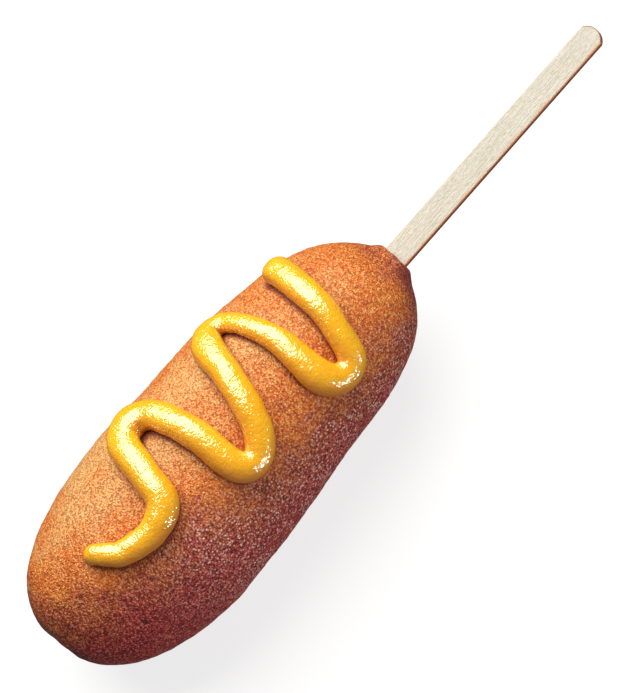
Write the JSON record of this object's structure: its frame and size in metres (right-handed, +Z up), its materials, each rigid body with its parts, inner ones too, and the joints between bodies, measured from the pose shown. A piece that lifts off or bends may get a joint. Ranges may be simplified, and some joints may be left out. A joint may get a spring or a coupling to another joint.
{
  "type": "corn dog",
  "caption": "Browned corn dog lying on its side: a long rounded crust on a flat wooden stick, with a raised zigzag of mustard along the top.",
  "frame": {"origin": "centre of the bounding box, at the level that the part lies on", "axes": "+X along the body towards the free end of the stick, +Z up through the mustard, +Y to the side"},
  "size_m": [0.1632, 0.042, 0.0445],
  "materials": {
    "crust": "fried cornmeal batter, fine grain with a little oil sheen",
    "mustard": "smooth yellow mustard, wet gloss",
    "stick_wood": "bare pale wood, fine straight grain, browned edges"
  },
  "bodies": {
    "root": {"crust": "crust", "stick": "stick_wood", "mustard": "mustard"}
  },
  "joints": []
}
